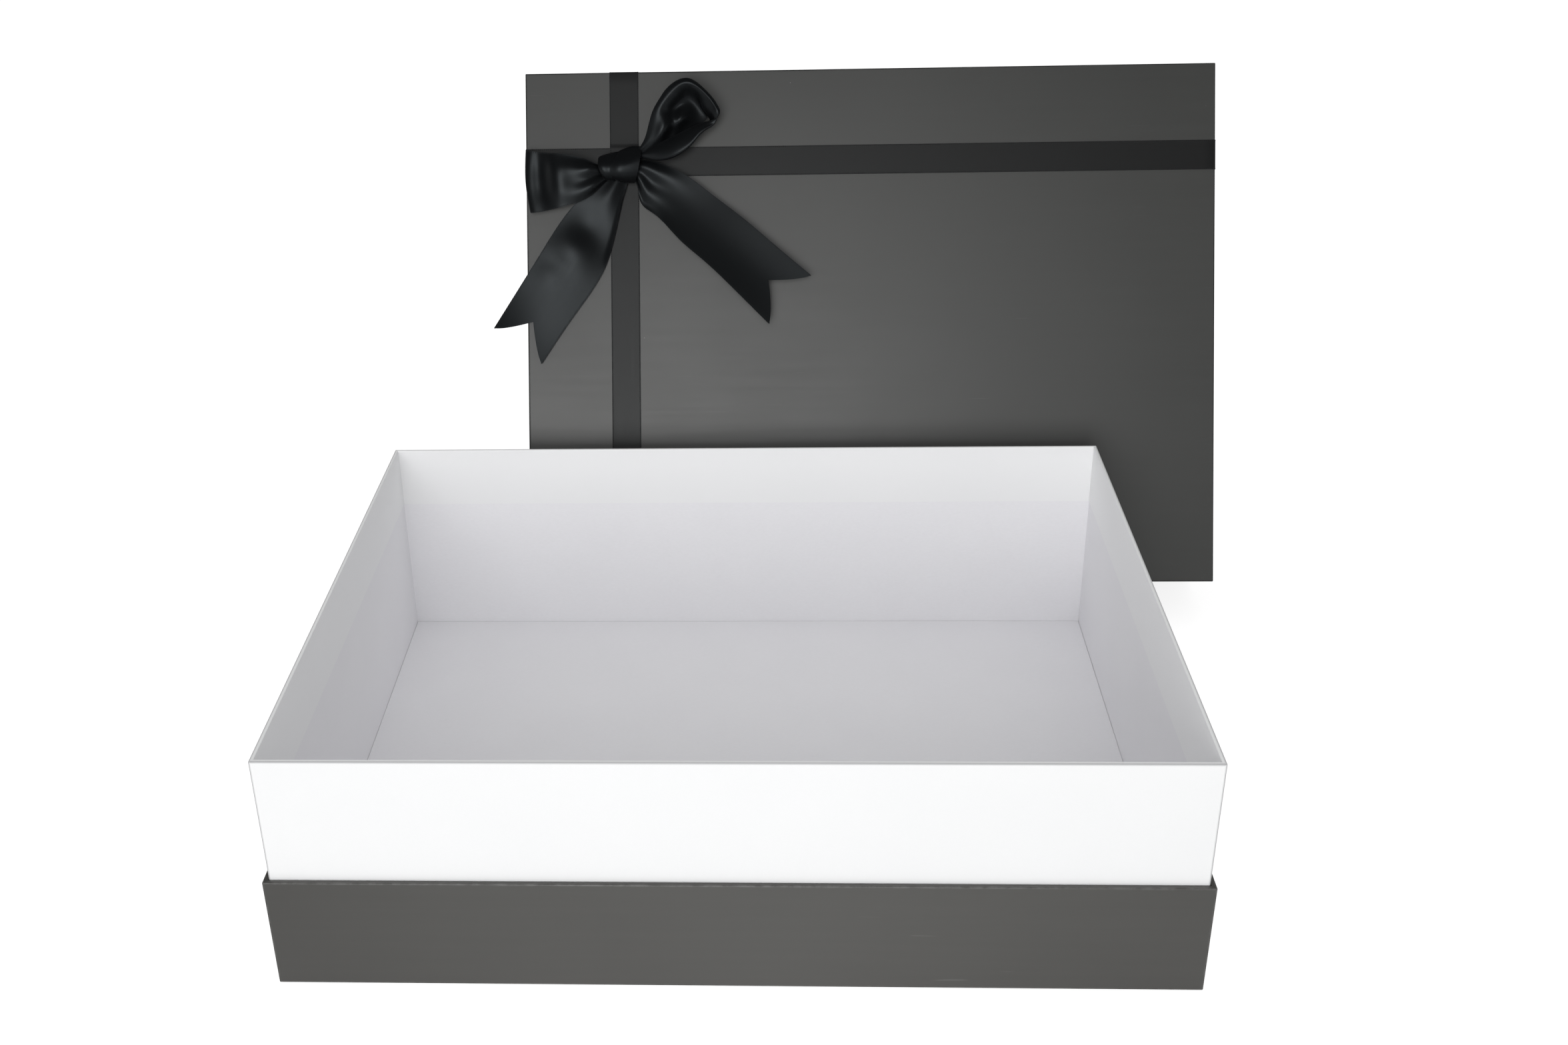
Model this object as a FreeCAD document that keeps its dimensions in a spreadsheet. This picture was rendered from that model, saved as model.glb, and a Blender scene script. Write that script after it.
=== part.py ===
import FreeCAD, Part
import os
import re
import Sketcher

# Gift box with a neck: an open base, and its lid taken off and leaning behind it.
# Millimetres and degrees. X runs along the box, Y to its back, Z up.
# The origin is the middle of the base's underside, on the surface it stands on.

doc = FreeCAD.newDocument("gift_box")
sheet = doc.addObject("Spreadsheet::Sheet", "Sizes")

SIZES = {
    # Overall size of the closed box, and how it divides into base and lid
    "box_length": 400.0,
    "box_width": 300.0,
    "base_height": 55.5,
    "lid_height": 63.5,
    # Sheet materials
    "grey_board": 1.5,
    "neck_board": 1.2,
    "panel_board": 1.2,
    "wrap_paper": 0.3,
    "liner_paper": 0.2,
    "stay_paper": 0.15,
    # Paper turned in over a rim, and rounding of the papered edges
    "tray_hem": 18.0,
    "neck_hem": 34.0,
    "edge_round": 0.5,
    "rim_round": 0.4,
    # Corner tapes
    "stay_width": 20.0,
    "stay_inset": 3.0,
    # Clearances
    "neck_clearance": 0.3,
    "neck_headroom": 0.45,
    "panel_clearance": 0.2,
    # How the lid stands behind the base
    "lid_lean": 24.25,
    "lid_shift": 73.0,
    "lid_gap": 1.2,
    # Satin bands round the lid, placed from its left and upper edges
    "band_width": 17.0,
    "band_satin": 0.25,
    "band_tuck": 18.0,
    "band_step": 2.0,
    "cross_inset": 58.0,
    "long_inset": 52.5,
    # Bow of wide satin ribbon on the crossing of the bands
    "bow_width": 37.0,
    "bow_satin": 0.4,
    "pad_round": 7.0,
    "pad_height": 0.8,
    "knot_length": 25.0,
    "knot_width": 20.5,
    "knot_height": 12.6,
    "knot_sag": 0.5,
    "knot_offset": 3.0,
    "knot_clearance": 0.15,
    "notch_depth": 15.0,
    "tail_tip": 0.6,
}

for row, (alias, number) in enumerate(SIZES.items(), start=1):
    sheet.set("A%d" % row, alias)
    sheet.set("B%d" % row, str(number))
    sheet.setAlias("B%d" % row, alias)
doc.recompute()


def size(alias):
    """Read one size back from the sheet."""
    return float(sheet.get(alias))


def bind(formula):
    """Point every size named in a formula at its cell in the sheet."""
    return re.sub(r"\b[a-z]+(_[a-z]+)+\b", lambda word: "Sizes." + word.group(0), formula)


# Formulas that several pieces share
TRAY_WALL = "(2 * wrap_paper + grey_board)"
NECK_INSET = "(2 * wrap_paper + grey_board + neck_clearance)"
NECK_WALL = "(wrap_paper + neck_board)"
TRAY_FLOOR = "(wrap_paper + grey_board)"
NECK_RISE = "(base_height + lid_height - 2 * wrap_paper - 2 * grey_board - liner_paper - neck_headroom)"
FACE_FOOT = "(lid_height * sin(lid_lean) + band_satin * (sin(lid_lean) + cos(lid_lean)))"
FACE_BACK = "(box_width / 2 + lid_gap + box_width / 2 * sin(lid_lean))"
FACE_UP = "(%s + box_width / 2 * cos(lid_lean))" % FACE_FOOT
CROSS_X = "(cross_inset - box_length / 2)"
LONG_Y = "(long_inset - box_width / 2)"


def move(item, corner):
    """Bind an item's position to three formulas."""
    for axis, formula in zip("xyz", corner):
        item.setExpression(".Placement.Base." + axis, bind(formula))


def stand_lid(item):
    """Lean a lid piece, drawn upside down with its face at height nought, behind the base."""
    item.Placement.Rotation.Axis = FreeCAD.Vector(1, 0, 0)
    item.setExpression(".Placement.Rotation.Angle", bind("-90 - lid_lean"))
    move(item, ("lid_shift", FACE_BACK, FACE_UP))


def hang_bow(item, height):
    """Set a bow piece, drawn face up over the crossing of the bands, at a height off the lid's face."""
    item.Placement.Rotation.Axis = FreeCAD.Vector(1, 0, 0)
    item.setExpression(".Placement.Rotation.Angle", bind("90 - lid_lean"))
    up_the_face = "(box_width / 2 - long_inset)"
    move(item, ("lid_shift + " + CROSS_X,
                FACE_BACK + " + %s * sin(lid_lean) - %s * cos(lid_lean)" % (up_the_face, height),
                FACE_UP + " + %s * cos(lid_lean) + %s * sin(lid_lean)" % (up_the_face, height)))


# Bodies drawn from sketches


def sketch_on(body, name, role, offset):
    """Lay a sketch on one of the body's own planes, raised by a formula."""
    sketch = body.newObject("Sketcher::SketchObject", name)
    plane = next(item for item in body.Origin.OriginFeatures if item.Role == role)
    sketch.AttachmentSupport = [(plane, "")]
    sketch.MapMode = "FlatFace"
    sketch.setExpression(".AttachmentOffset.Base.z", bind(offset))
    return sketch


def draw_outline(sketch, corners):
    """Draw a closed outline whose corners are pairs of formulas from the sketch's origin."""
    first = sketch.GeometryCount
    count = len(corners)
    for index in range(count):
        start = FreeCAD.Vector(index, index * index, 0)
        after = (index + 1) % count
        end = FreeCAD.Vector(after, after * after, 0)
        sketch.addGeometry(Part.LineSegment(start, end), False)
    for index, corner in enumerate(corners):
        line = first + index
        following = first + (index + 1) % count
        sketch.addConstraint(Sketcher.Constraint("Coincident", line, 2, following, 1))
        for kind, formula in zip(("DistanceX", "DistanceY"), corner):
            datum = sketch.addConstraint(Sketcher.Constraint(kind, -1, 1, line, 1, 1.0))
            name = "%s_%d" % (kind, line)
            sketch.renameConstraint(datum, name)
            sketch.setExpression("Constraints." + name, bind(formula))


def draw_rectangle(sketch, length, width):
    """Draw a rectangle centred on the sketch's origin."""
    draw_outline(sketch, [(side + length + " / 2", end + width + " / 2")
                          for side, end in (("-", "-"), ("", "-"), ("", ""), ("-", ""))])


def pad(body, sketch, depth, symmetric=False):
    """Raise a sketch by a formula, or half of it to each side."""
    feature = body.newObject("PartDesign::Pad", sketch.Name + "_pad")
    feature.Profile = sketch
    feature.SideType = "Symmetric" if symmetric else "One side"
    feature.setExpression("Length", bind(depth))
    doc.recompute()


def pocket(body, sketch, depth, upward=False):
    """Cut a sketch into the body, down from it or up, and see that it took material."""
    before = body.Shape.Volume
    feature = body.newObject("PartDesign::Pocket", sketch.Name + "_pocket")
    feature.Profile = sketch
    feature.Reversed = upward
    feature.setExpression("Length", bind(depth))
    doc.recompute()
    if body.Shape.Volume >= before:
        raise RuntimeError(sketch.Name + " cut nothing")


def outer_sides(edge, box):
    """Count the sides of the bounding box that an edge lies on."""
    middle = edge.BoundBox.Center
    gaps = [abs(middle.x - box.XMin), abs(middle.x - box.XMax), abs(middle.y - box.YMin),
            abs(middle.y - box.YMax), abs(middle.z - box.ZMin), abs(middle.z - box.ZMax)]
    return sum(gap < box.DiagonalLength * 1e-7 for gap in gaps)


def round_edges(body, radius, chosen):
    """Fillet the edges that a test picks out, each given with the body's bounding box."""
    base = body.Tip
    box = body.Shape.BoundBox
    names = ["Edge%d" % number for number, edge in enumerate(body.Shape.Edges, start=1)
             if chosen(edge, box)]
    feature = body.newObject("PartDesign::Fillet", body.Name + "_" + chosen.__name__)
    feature.Base = (base, names)
    feature.setExpression("Radius", bind(radius))
    doc.recompute()


def on_corner(edge, box):
    """Tell whether an edge is one of the outer block's own."""
    return outer_sides(edge, box) == 2


def above_foot(edge, box):
    """Tell whether an edge is one of the outer block's own, but not round its underside."""
    return on_corner(edge, box) and edge.BoundBox.ZMax > box.Center.z


def upright(edge, box):
    """Tell whether an edge is one of the outer block's uprights."""
    return on_corner(edge, box) and edge.BoundBox.ZLength > box.ZLength / 2


def on_mouth(edge, box):
    """Tell whether an edge runs round the inside of the rim."""
    level = abs(edge.BoundBox.ZMin - box.ZMax) + abs(edge.BoundBox.ZMax - box.ZMax)
    return level < box.DiagonalLength * 1e-7 and outer_sides(edge, box) == 1


def paper_wrap(name, length, width, height, board, hem, floored):
    """Wrap paper round the outside of board walls, over their rim and down inside as a hem."""
    body = doc.addObject("PartDesign::Body", name)
    hem_foot = "(%s - %s)" % (height, hem)
    shrink = "(%s - 2 * (%s))"
    board_out = [shrink % (side, "wrap_paper") for side in (length, width)]
    board_in = [shrink % (side, "wrap_paper + " + board) for side in (length, width)]
    hem_in = [shrink % (side, "2 * wrap_paper + " + board) for side in (length, width)]

    block = sketch_on(body, name + "_block", "XY_Plane", "0")
    draw_rectangle(block, length, width)
    pad(body, block, height)

    mouth = sketch_on(body, name + "_mouth", "XY_Plane", height)
    draw_rectangle(mouth, *hem_in)
    pocket(body, mouth, hem)

    well = sketch_on(body, name + "_well", "XY_Plane", hem_foot)
    draw_rectangle(well, *board_out)
    pocket(body, well, hem_foot + (" - wrap_paper" if floored else ""))

    slot = sketch_on(body, name + "_slot", "XY_Plane", hem_foot)
    draw_rectangle(slot, *board_out)
    draw_rectangle(slot, *board_in)
    pocket(body, slot, hem + " - wrap_paper", upward=True)

    round_edges(body, "edge_round", on_corner if floored else above_foot)
    round_edges(body, "rim_round", on_mouth)
    return body


def flat_panel(name, length, width, thickness):
    """Lay a flat sheet on the floor of a tray."""
    body = doc.addObject("PartDesign::Body", name)
    outline = sketch_on(body, name + "_outline", "XY_Plane", TRAY_FLOOR)
    draw_rectangle(outline, length, width)
    pad(body, outline, thickness)
    return body


# Pieces cut from flat board and tape


def slab(name, sides, corner):
    """Make one flat block from three side formulas and its lowest corner."""
    block = doc.addObject("Part::Box", name)
    for side, formula in zip(("Length", "Width", "Height"), sides):
        block.setExpression(side, bind(formula))
    move(block, corner)
    return block


def centred_slab(name, sides, height):
    """Make one flat block centred over the origin, its underside at a height."""
    return slab(name, sides, ("-%s / 2" % sides[0], "-%s / 2" % sides[1], height))


def group(name, members):
    """Hold several solids of one piece together under its name."""
    compound = doc.addObject("Part::Compound", name)
    compound.Links = members
    return compound


def board_walls(name, length, width, board, foot, height):
    """Stand four board walls in a rectangle, the long ones running past the short ones."""
    side_width = "(%s - 2 * %s)" % (width, board)
    left = "-%s / 2" % length
    right = "%s / 2 - %s" % (length, board)
    front = "-%s / 2" % width
    back = "%s / 2 - %s" % (width, board)
    return [
        slab(name + "_front", (length, board, height), (left, front, foot)),
        slab(name + "_back", (length, board, height), (left, back, foot)),
        slab(name + "_left", (board, side_width, height), (left, "-%s / 2" % side_width, foot)),
        slab(name + "_right", (board, side_width, height), (right, "-%s / 2" % side_width, foot)),
    ]


BOARD_LENGTH = "(box_length - 2 * wrap_paper)"
BOARD_WIDTH = "(box_width - 2 * wrap_paper)"


def board_tray(name, height):
    """Fold a greyboard tray: a floor with four walls standing on it, inside its paper."""
    floor = centred_slab(name + "_floor", (BOARD_LENGTH, BOARD_WIDTH, "grey_board"), "wrap_paper")
    wall_height = "(%s - 2 * wrap_paper - grey_board)" % height
    walls = board_walls(name, BOARD_LENGTH, BOARD_WIDTH, "grey_board", TRAY_FLOOR, wall_height)
    return group(name, [floor] + walls)


def corner_tapes(name, height):
    """Tape the four corners of a greyboard tray on the outside, below the rim and above the floor."""
    ring = doc.addObject("PartDesign::Body", name + "_ring")
    tall = "(%s - 2 * stay_inset)" % height
    around = sketch_on(ring, name + "_around", "XY_Plane", "stay_inset")
    draw_rectangle(around, *["(%s + 2 * stay_paper)" % side for side in (BOARD_LENGTH, BOARD_WIDTH)])
    pad(ring, around, tall)
    round_edges(ring, "edge_round - wrap_paper + stay_paper", upright)
    inside = sketch_on(ring, name + "_inside", "XY_Plane", "stay_inset + " + tall)
    draw_rectangle(inside, BOARD_LENGTH, BOARD_WIDTH)
    pocket(ring, inside, tall)

    reach = "(stay_width + stay_paper)"
    blocks = []
    for side, x in (("left", "-box_length / 2"), ("right", "box_length / 2 - " + reach)):
        for end, y in (("front", "-box_width / 2"), ("back", "box_width / 2 - " + reach)):
            blocks.append(slab("%s_%s_%s" % (name, side, end), (reach, reach, height), (x, y, "0")))
    tapes = doc.addObject("Part::Common", name)
    tapes.Base = ring
    tapes.Tool = group(name + "_corners", blocks)
    return tapes


def wrapped_tray(name, height):
    """Make one tray: its board, the tapes on its corners and the paper glued over both."""
    board = board_tray(name + "_board", height)
    tapes = corner_tapes(name + "_tapes", height)
    sheet_of_paper = paper_wrap(name + "_paper", "box_length", "box_width", height,
                                "grey_board", "tray_hem", floored=True)
    wrap = doc.addObject("Part::Cut", name + "_wrap")
    wrap.Base = sheet_of_paper
    wrap.Tool = tapes
    return [board, group(name + "_corner_stays", [tapes]), wrap]


# Base with its neck

base_pieces = wrapped_tray("base", "base_height")

neck_length = "(box_length - 2 * %s)" % NECK_INSET
neck_width = "(box_width - 2 * %s)" % NECK_INSET
neck_wrap = paper_wrap("neck_wrap", neck_length, neck_width, NECK_RISE, "neck_board", "neck_hem",
                       floored=False)
move(neck_wrap, ("0", "0", TRAY_FLOOR))

neck_board = group("neck_board", board_walls(
    "neck_board", "(%s - 2 * wrap_paper)" % neck_length, "(%s - 2 * wrap_paper)" % neck_width,
    "neck_board", TRAY_FLOOR, "(%s - wrap_paper)" % NECK_RISE))

floor_panel = flat_panel(
    "floor_panel", "(%s - 2 * %s - 2 * panel_clearance)" % (neck_length, NECK_WALL),
    "(%s - 2 * %s - 2 * panel_clearance)" % (neck_width, NECK_WALL), "panel_board")

# Lid, drawn face down from the middle of its face, then leant behind the base

lid_pieces = wrapped_tray("lid", "lid_height")

lid_liner = flat_panel(
    "lid_liner", "(%s - 2 * grey_board - 2 * panel_clearance)" % BOARD_LENGTH,
    "(%s - 2 * grey_board - 2 * panel_clearance)" % BOARD_WIDTH, "liner_paper")


def band(name, role, side, offset, middle):
    """Run a satin band over the face, round two edges and in under the rim.

    The middle is the stretch of the band's outline between its two ends on the face,
    first along the outside and then back along the inside.
    """
    body = doc.addObject("PartDesign::Body", name)
    half = side + " / 2"
    out = "(%s + band_satin)" % half
    hem_face = "(%s - %s)" % (half, TRAY_WALL)
    tuck_face = "(%s - band_satin)" % hem_face
    rim = "(lid_height + band_satin)"
    end = "(lid_height - band_tuck)"
    outside, inside = middle
    path = [("-" + tuck_face, end), ("-" + tuck_face, rim), ("-" + out, rim), ("-" + out, "-band_satin")]
    path += outside
    path += [(out, "-band_satin"), (out, rim), (tuck_face, rim), (tuck_face, end)]
    path += [(hem_face, end), (hem_face, "lid_height"), (half, "lid_height"), (half, "0")]
    path += inside
    path += [("-" + half, "0"), ("-" + half, "lid_height"), ("-" + hem_face, "lid_height"),
             ("-" + hem_face, end)]
    outline = sketch_on(body, name + "_outline", role, offset)
    draw_outline(outline, path)
    pad(body, outline, "band_width", symmetric=True)
    return body


# The long band lies flat on the face; the cross band steps over it where they meet
ribbon_long = band("ribbon_long", "XZ_Plane", "box_length", "-" + LONG_Y, ([], []))
step_near = "(%s - band_width / 2)" % LONG_Y
step_far = "(%s + band_width / 2)" % LONG_Y
step_over = [
    (step_near + " - band_step", "-band_satin"),
    (step_near, "-2 * band_satin"),
    (step_far, "-2 * band_satin"),
    (step_far + " + band_step", "-band_satin"),
]
step_under = [
    (step_far + " + band_step", "0"),
    (step_far, "-band_satin"),
    (step_near, "-band_satin"),
    (step_near + " - band_step", "0"),
]
ribbon_cross = band("ribbon_cross", "YZ_Plane", "box_width", CROSS_X, (step_over, step_under))

for piece in lid_pieces + [lid_liner, ribbon_long, ribbon_cross]:
    stand_lid(piece)

# Bow, drawn face up over the crossing of the bands: x right, y up the face, z off its seat

STACK = "(2 * band_satin)"
SEAT = "(2 * band_satin + pad_height)"

bow_glue_pad = doc.addObject("PartDesign::Body", "bow_glue_pad")
dot = sketch_on(bow_glue_pad, "glue_dot", "XY_Plane", "0")
dot.addGeometry(Part.Circle(FreeCAD.Vector(), FreeCAD.Vector(0, 0, 1), size("pad_round")), False)
dot.addConstraint(Sketcher.Constraint("Coincident", 0, 3, -1, 1))
dot.addConstraint(Sketcher.Constraint("Radius", 0, size("pad_round")))
dot.renameConstraint(1, "dot_radius")
dot.setExpression("Constraints.dot_radius", bind("pad_round"))
pad(bow_glue_pad, dot, "pad_height")
hang_bow(bow_glue_pad, STACK)


def knot_form(name, clearance):
    """Make the rounded lump of the knot, grown by a clearance."""
    lump = doc.addObject("Part::Ellipsoid", name)
    lump.setExpression("Radius1", bind("knot_height / 2 + " + clearance))
    lump.setExpression("Radius2", bind("knot_length / 2 + " + clearance))
    lump.setExpression("Radius3", bind("knot_width / 2 + " + clearance))
    move(lump, ("-knot_offset", "0", "knot_height / 2 - knot_sag"))
    return lump


seat_side = "(2 * knot_length)"
bow_knot = doc.addObject("Part::Cut", "bow_knot")
bow_knot.Base = knot_form("knot_lump", "0")
bow_knot.Tool = centred_slab("knot_seat", (seat_side, seat_side, "knot_height"), "-knot_height")
knot_room = knot_form("knot_room", "knot_clearance")
doc.recompute()


def ribbon_run(stations):
    """Run satin through stations, each the two edge points of the ribbon there."""
    half = size("bow_satin") / 2
    rings = []
    for index, (one, other) in enumerate(stations):
        before = stations[max(index - 1, 0)]
        after = stations[min(index + 1, len(stations) - 1)]
        along = after[0] + after[1] - before[0] - before[1]
        off = along.cross(other - one).normalize() * half
        rings.append([one + off, other + off, other - off, one - off])
    faces = [Part.Face(Part.makePolygon(ring + ring[:1])) for ring in (rings[0], rings[-1])]
    for ring, following in zip(rings, rings[1:]):
        for corner in range(len(ring)):
            edges = [Part.makeLine(square[corner - 1], square[corner]) for square in (ring, following)]
            faces.append(Part.makeRuledSurface(*edges))
    shell = Part.makeShell(faces)
    shell.sewShape()
    solid = Part.makeSolid(shell)
    if solid.Volume < 0:
        solid.reverse()
    return solid


def swallow_tail(stations):
    """Make the wedge that notches the last end of a ribbon, leaving a narrow tip at each edge."""
    one, other = stations[-1]
    tip = (other - one).normalize() * size("tail_tip")
    depth = size("notch_depth")
    back = (stations[-2][0] + stations[-2][1] - one - other).normalize() * depth
    apex = (one + other) * 0.5 + back
    past_end = 2
    corners = [apex, apex + (one + tip - apex) * past_end, apex + (other - tip - apex) * past_end]
    drop = FreeCAD.Vector(0, 0, depth)
    wedge = Part.Face(Part.makePolygon([corner - drop for corner in corners + corners[:1]]))
    return wedge.extrude(drop * 2)


def bow_piece(name, points, tail):
    """Make one loop or tail of the bow, its roots trimmed to the knot."""
    scale = size("bow_width") / DRAWN_WIDTH
    stations = [[FreeCAD.Vector(*point) * scale for point in pair] for pair in points]
    shape = ribbon_run(stations).cut(knot_room.Shape)
    if tail:
        shape = shape.cut(swallow_tail(stations))
    piece = doc.addObject("Part::Feature", name)
    piece.Shape = shape
    return piece


# Edge points of the ribbon along each run, drawn for a ribbon of this width
DRAWN_WIDTH = 37.0
LEFT_LOOP = [
    ((-7, -1, 7.7), (-5, -9, 7.2)),
    ((-14, -0.5, 9.2), (-11, -13, 8.7)),
    ((-22.5, 1, 11.2), (-17.5, -20, 10.2)),
    ((-34, 3.5, 12.7), (-29.5, -25.5, 11.7)),
    ((-46, 5, 12.2), (-41.5, -28, 11.2)),
    ((-54, 6.5, 10.2), (-50, -29, 9.2)),
    ((-57, 7, 7.7), (-53.5, -29.5, 6.7)),
    ((-54.5, 7, 5.2), (-51.5, -28.5, 4.7)),
    ((-45, 6, 3.8), (-42, -26.5, 3.8)),
    ((-31, 4, 3.8), (-28, -23, 3.8)),
    ((-17, 0.5, 4.7), (-14, -14, 4.7)),
    ((-7, -1, 5.7), (-5, -8.5, 5.7)),
]
UPPER_LOOP = [
    ((4.5, 2.5, 7.7), (5.5, 1, 4.7)),
    ((13, 11, 14.7), (15, 9, 2.7)),
    ((17, 19.5, 21.7), (22, 14.5, 1.7)),
    ((22, 31, 26.7), (30, 24, 1.2)),
    ((28.5, 39.5, 28.7), (37, 32.5, 1.2)),
    ((36, 43.5, 29.7), (43, 37, 1.2)),
    ((48, 36.5, 30.7), (49, 34, 1.2)),
    ((56, 24.5, 30.7), (53.5, 28.5, 1.2)),
    ((51, 19.5, 29.7), (48.5, 18, 1.7)),
    ((36.5, 14, 25.7), (36, 8, 2.2)),
    ((23.5, 9.5, 17.7), (23, 0.5, 3.7)),
    ((7, 2, 9.7), (6.5, 0.5, 6.7)),
]
LEFT_TAIL = [
    ((-5.5, -4.5, 2.7), (3.5, -6.5, 2.2)),
    ((-13.5, -9.5, 2.7), (-0.5, -19.5, 1.7)),
    ((-29, -24, 2.2), (-6, -41, 0.9)),
    ((-44.5, -44.5, 1.7), (-14, -63.5, 0.3)),
    ((-60, -69, 1.3), (-31, -89.5, 0.1)),
    ((-75.5, -94, 1.2), (-48.5, -115, 0.1)),
]
RIGHT_TAIL = [
    ((5.5, -1.5, 5.7), (3.5, -7, 4.2)),
    ((15.5, -0.5, 6.7), (8, -13.5, 3.7)),
    ((26.5, -3, 6.7), (11.5, -24, 2.7)),
    ((35.5, -7.5, 5.7), (18, -31, 2.2)),
    ((51.5, -19.5, 4.7), (29.5, -42, 2.2)),
    ((68, -32, 4.7), (45.5, -56, 2.7)),
    ((87.5, -48.5, 6.2), (64.5, -74.5, 3.7)),
    ((107.5, -64.5, 8.2), (83, -92.5, 5.2)),
]

bow_pieces = [
    bow_knot,
    bow_piece("bow_loop_left", LEFT_LOOP, tail=False),
    bow_piece("bow_loop_upper", UPPER_LOOP, tail=False),
    bow_piece("bow_tail_left", LEFT_TAIL, tail=True),
    bow_piece("bow_tail_right", RIGHT_TAIL, tail=True),
]
for piece in bow_pieces:
    hang_bow(piece, SEAT)

nodes = base_pieces + [neck_board, neck_wrap, floor_panel]
nodes += lid_pieces + [lid_liner, ribbon_long, ribbon_cross, bow_glue_pad] + bow_pieces
doc.recompute()

for item in doc.Objects:
    if "Invalid" in item.State or "Error" in item.State:
        raise RuntimeError(item.Label + " did not recompute")
for node in nodes:
    if node.Shape.isNull() or not node.Shape.isValid():
        raise RuntimeError(node.Label + " has no valid shape")

os.makedirs("parts", exist_ok=True)
for node in nodes:
    node.Shape.exportStep("parts/%s.step" % node.Label)
    print(node.Label, len(node.Shape.Solids), round(node.Shape.Volume, 1))
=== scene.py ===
import math

import bmesh
import bpy
import numpy as np
from mathutils import Euler, Matrix, Vector


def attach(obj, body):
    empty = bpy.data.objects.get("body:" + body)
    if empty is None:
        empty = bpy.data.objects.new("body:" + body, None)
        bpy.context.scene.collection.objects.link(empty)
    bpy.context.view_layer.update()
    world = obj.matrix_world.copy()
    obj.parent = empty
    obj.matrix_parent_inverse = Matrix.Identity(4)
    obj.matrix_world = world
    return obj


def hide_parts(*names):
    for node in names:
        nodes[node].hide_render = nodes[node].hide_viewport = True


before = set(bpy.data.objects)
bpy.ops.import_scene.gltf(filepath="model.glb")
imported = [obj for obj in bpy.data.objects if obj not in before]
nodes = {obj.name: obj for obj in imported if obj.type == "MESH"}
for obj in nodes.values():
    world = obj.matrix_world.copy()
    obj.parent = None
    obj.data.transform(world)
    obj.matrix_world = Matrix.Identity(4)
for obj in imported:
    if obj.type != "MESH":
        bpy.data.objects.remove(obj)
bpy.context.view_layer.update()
MM = 0.001
FLAT = (0.0, 0.0, 0.0)

# Sizes of the box in millimetres, as its solids have them

BOX_LENGTH, BOX_WIDTH = 400.0, 300.0
BASE_HEIGHT, LID_HEIGHT = 55.5, 63.5
TRAY_WALL = 2.1
LID_LEAN = math.radians(24.25)
LID_SHIFT, LID_GAP = 73.0, 1.2
BAND_WIDTH, BAND_SATIN, BAND_TUCK = 17.0, 0.25, 18.0
CROSS_X = 58.0 - BOX_LENGTH / 2
LONG_Y = 52.5 - BOX_WIDTH / 2
BOW_WIDTH, BOW_SATIN, BOW_SEAT = 37.0, 0.36, 1.3

LEAN_SIN, LEAN_COS = math.sin(LID_LEAN), math.cos(LID_LEAN)
FACE_FOOT = LID_HEIGHT * LEAN_SIN + BAND_SATIN * (LEAN_SIN + LEAN_COS)
FACE_MIDDLE = np.array([
    LID_SHIFT,
    BOX_WIDTH / 2 + LID_GAP + BOX_WIDTH / 2 * LEAN_SIN,
    FACE_FOOT + BOX_WIDTH / 2 * LEAN_COS,
])
ALONG = np.array([1.0, 0.0, 0.0])
UP_FACE = np.array([0.0, LEAN_SIN, LEAN_COS])
OFF_FACE = np.array([0.0, -LEAN_COS, LEAN_SIN])
CROSSING = FACE_MIDDLE + ALONG * CROSS_X - UP_FACE * LONG_Y


def on_lid(points):
    """Points of the lid as drawn face down (x along, y down the face, z inwards), in metres in the frame."""
    x, y, z = np.moveaxis(np.asarray(points, float), -1, 0)
    place = FACE_MIDDLE + x[..., None] * ALONG - y[..., None] * UP_FACE - z[..., None] * OFF_FACE
    return place * MM


def on_bow(points):
    """Points of the bow (x right, y up the face, z off its seat), in metres in the frame."""
    x, y, z = np.moveaxis(np.asarray(points, float), -1, 0)
    place = CROSSING + x[..., None] * ALONG + y[..., None] * UP_FACE + (z + BOW_SEAT)[..., None] * OFF_FACE
    return place * MM


# Finishes


class Number:
    """A socket's value; arithmetic on it adds Math nodes to its finish."""

    def __init__(self, finish, socket):
        self.finish, self.socket = finish, socket

    def __add__(self, other):
        return self.finish.math("ADD", self, other)

    def __sub__(self, other):
        return self.finish.math("SUBTRACT", self, other)

    def __rsub__(self, other):
        return self.finish.math("SUBTRACT", other, self)

    def __mul__(self, other):
        return self.finish.math("MULTIPLY", self, other)

    def __abs__(self):
        return self.finish.math("ABSOLUTE", self, 0.0)

    __radd__ = __add__
    __rmul__ = __mul__


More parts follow.
